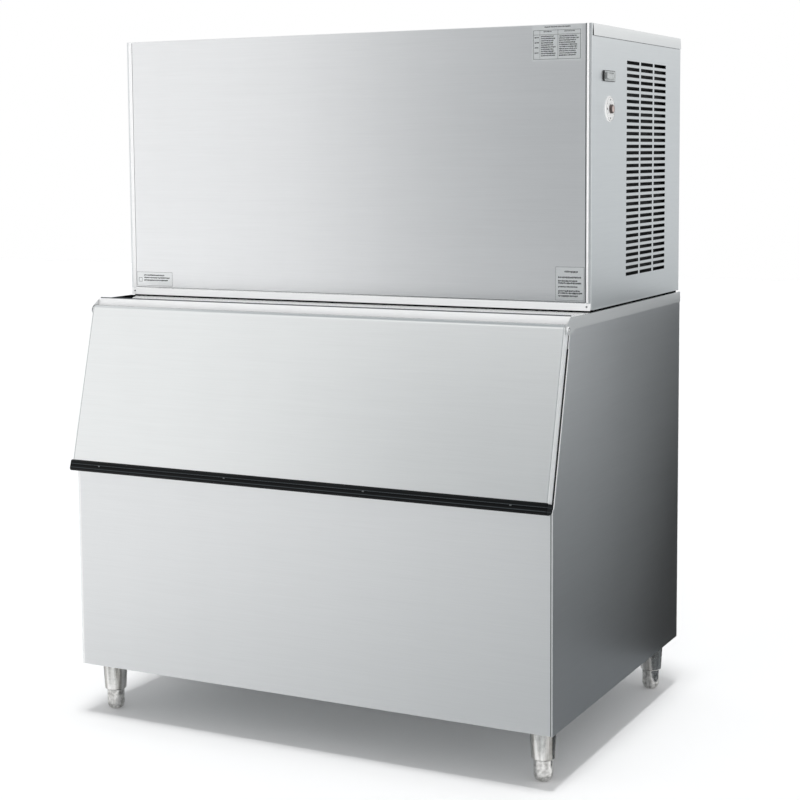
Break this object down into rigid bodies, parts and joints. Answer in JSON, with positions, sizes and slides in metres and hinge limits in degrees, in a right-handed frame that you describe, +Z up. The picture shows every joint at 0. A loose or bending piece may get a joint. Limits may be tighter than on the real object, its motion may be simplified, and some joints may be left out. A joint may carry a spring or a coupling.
{
  "type": "modular cube ice machine with storage bin",
  "caption": "Upright cube ice machine: a louvred ice-making head on an insulated bin with a slanted, top-hinged door, full-width handle and screwed feet.",
  "frame": {"origin": "on the floor, under the middle of the whole machine", "axes": "+X to the machine's right as seen by someone facing it, -Y out of its front, +Z up"},
  "size_m": [1.2368, 0.9023, 1.63],
  "materials": {
    "bin_panel": "brushed stainless sheet, horizontal grain",
    "door_panel": "brushed stainless sheet, horizontal grain",
    "head_panel": "brushed stainless sheet, horizontal grain",
    "head_front": "brushed stainless sheet, horizontal grain",
    "bright_steel": "polished stainless trim",
    "leg_steel": "turned stainless steel, polished",
    "galvanised_sheet": "galvanised sheet with faint spangle",
    "foam": "cream polyurethane foam",
    "white_liner": "white food-grade plastic, satin",
    "grey_plastic": "grey moulded plastic",
    "black_plastic": "black moulded plastic",
    "handle_black": "black extruded plastic, satin sheen",
    "black_rubber": "black soft rubber",
    "copper_tinned": "tinned copper, dull",
    "copper": "bare copper tube, lightly dulled",
    "clear_plastic": "clear plastic curtain",
    "black_paint": "black painted steel",
    "aluminium_fins": "bare aluminium fins",
    "rocker_grey": "grey translucent rocker",
    "dial_white": "white enamelled plate",
    "knob_brown": "brown moulded knob"
  },
  "bodies": {
    "cabinet": {"bin_side_left": "bin_panel", "bin_side_right": "bin_panel", "bin_front_panel": "bin_panel", "bin_back_panel": "galvanised_sheet", "bin_base": "galvanised_sheet", "bin_foam": "foam", "bin_liner": "white_liner", "bin_drain": "grey_plastic", "mouth_frame": "black_plastic", "door_gasket": "black_rubber", "bin_top_rim": "bright_steel", "hinge_rail": "bright_steel", "hinge_pins": "bright_steel", "leg_sleeve_front_left": "leg_steel", "leg_sleeve_front_right": "leg_steel", "leg_sleeve_back_left": "leg_steel", "leg_sleeve_back_right": "leg_steel", "head_seal": "black_rubber", "head_base": "bright_steel", "head_side_left": "head_panel", "head_side_right": "head_panel", "head_front_panel": "head_front", "head_lid": "head_panel", "head_back_panel": "galvanised_sheet", "partition": "galvanised_sheet", "evaporator": "copper_tinned", "evaporator_coil": "copper", "evaporator_brackets": "grey_plastic", "water_distributor": "grey_plastic", "water_trough": "grey_plastic", "water_pump": "black_plastic", "supply_tube": "grey_plastic", "float_valve": "grey_plastic", "inlet_valve": "grey_plastic", "compressor": "black_paint", "condenser": "aluminium_fins", "fan_shroud": "galvanised_sheet", "fan_motor": "black_paint", "filter_drier": "copper", "control_box": "galvanised_sheet", "switch_housing": "black_plastic", "dial_plate": "dial_white", "thermostat": "grey_plastic", "power_gland": "black_plastic", "head_drain": "grey_plastic"},
    "door": {"door_skin": "door_panel", "door_liner": "white_liner", "door_foam": "foam", "door_pivot_blocks": "grey_plastic", "door_handle": "handle_black", "handle_end_caps": "black_plastic"},
    "curtain": {"splash_curtain": "clear_plastic"},
    "fan": {"fan_rotor": "black_plastic"},
    "float": {"float_arm": "grey_plastic"},
    "rocker": {"switch_rocker": "rocker_grey"},
    "knob": {"dial_knob": "knob_brown"},
    "foot_fl": {"foot_front_left": "leg_steel"},
    "foot_fr": {"foot_front_right": "leg_steel"},
    "foot_bl": {"foot_back_left": "leg_steel"},
    "foot_br": {"foot_back_right": "leg_steel"}
  },
  "joints": [
    {"name": "door_hinge", "type": "hinge", "parent": "cabinet", "child": "door", "pos_m": [0, -0.33616, 0.98054], "axis": [-1, 0, 0], "range_deg": [0, 172]},
    {"name": "curtain_hinge", "type": "hinge", "parent": "cabinet", "child": "curtain", "pos_m": [-0.25, 0.05121, 1.505], "axis": [-1, 0, 0], "range_deg": [0, 35]},
    {"name": "fan_spin", "type": "hinge", "parent": "cabinet", "child": "fan", "pos_m": [0.54, 0.17621, 1.33], "axis": [1, 0, 0], "continuous": true},
    {"name": "float_pivot", "type": "hinge", "parent": "cabinet", "child": "float", "pos_m": [-0.5095, 0.14771, 1.078], "axis": [0, 1, 0], "range_deg": [0, 22]},
    {"name": "rocker_tilt", "type": "hinge", "parent": "cabinet", "child": "rocker", "pos_m": [0.6094, -0.08279, 1.52], "axis": [0, 0, -1], "range_deg": [0, 14]},
    {"name": "knob_turn", "type": "hinge", "parent": "cabinet", "child": "knob", "pos_m": [0.613, -0.07779, 1.448], "axis": [1, 0, 0], "range_deg": [0, 270]},
    {"name": "foot_fl_screw", "type": "slide", "parent": "cabinet", "child": "foot_fl", "axis": [0, 0, -1], "range_m": [0, 0.02]},
    {"name": "foot_fr_screw", "type": "slide", "parent": "cabinet", "child": "foot_fr", "axis": [0, 0, -1], "range_m": [0, 0.02]},
    {"name": "foot_bl_screw", "type": "slide", "parent": "cabinet", "child": "foot_bl", "axis": [0, 0, -1], "range_m": [0, 0.02]},
    {"name": "foot_br_screw", "type": "slide", "parent": "cabinet", "child": "foot_br", "axis": [0, 0, -1], "range_m": [0, 0.02]}
  ]
}
